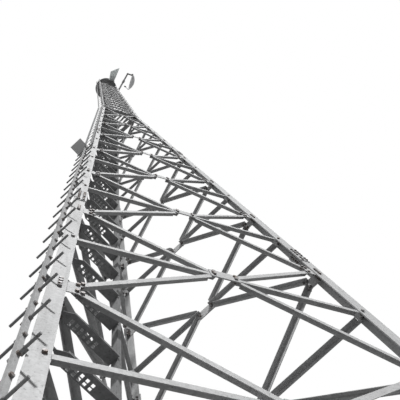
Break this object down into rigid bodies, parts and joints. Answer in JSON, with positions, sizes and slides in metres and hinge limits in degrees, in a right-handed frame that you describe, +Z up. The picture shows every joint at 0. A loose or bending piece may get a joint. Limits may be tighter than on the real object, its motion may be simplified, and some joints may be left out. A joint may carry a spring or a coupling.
{
  "type": "self-supporting radio tower",
  "caption": "Three-legged lattice radio tower of bolted galvanised steel angles, with a climbing rail on one leg, a straight head and two link antennas.",
  "frame": {"origin": "middle of the underside of foot plate A", "axes": "+X from leg A to leg B along face AB, +Y towards leg C's side, +Z up"},
  "size_m": [4.9605, 4.2959, 39.212],
  "materials": {
    "galvanised_steel": "weathered galvanised",
    "weathered_steel": "dull galvanised",
    "radome": "matt",
    "dish_paint": "satin"
  },
  "bodies": {
    "root": {"foot_a": "weathered_steel", "foot_b": "weathered_steel", "foot_c": "weathered_steel", "leg_a_lower": "galvanised_steel", "leg_b_lower": "galvanised_steel", "leg_c_lower": "galvanised_steel", "leg_a_upper": "galvanised_steel", "leg_b_upper": "galvanised_steel", "leg_c_upper": "galvanised_steel", "leg_a_top": "galvanised_steel", "leg_b_top": "galvanised_steel", "leg_c_top": "galvanised_steel", "splice_plates": "galvanised_steel", "knee_ring": "galvanised_steel", "face_ab_lower": "galvanised_steel", "face_bc_lower": "galvanised_steel", "face_ca_lower": "galvanised_steel", "face_ab_middle": "galvanised_steel", "face_bc_middle": "galvanised_steel", "face_ca_middle": "galvanised_steel", "face_ab_upper": "galvanised_steel", "face_bc_upper": "galvanised_steel", "face_ca_upper": "galvanised_steel", "face_ab_top": "galvanised_steel", "face_bc_top": "galvanised_steel", "face_ca_top": "galvanised_steel", "climbing_rail": "galvanised_steel", "rail_brackets": "weathered_steel", "step_pegs": "galvanised_steel", "rest_platform": "weathered_steel", "inner_ladder_rail": "weathered_steel", "inner_ladder_rungs": "weathered_steel", "cable_ladder_shaft": "galvanised_steel", "cable_ladder_head": "galvanised_steel", "head_platform": "weathered_steel", "horn_mount": "weathered_steel", "horn": "radome", "dish_arm": "weathered_steel", "dish": "dish_paint", "dish_feed": "weathered_steel"}
  },
  "joints": []
}
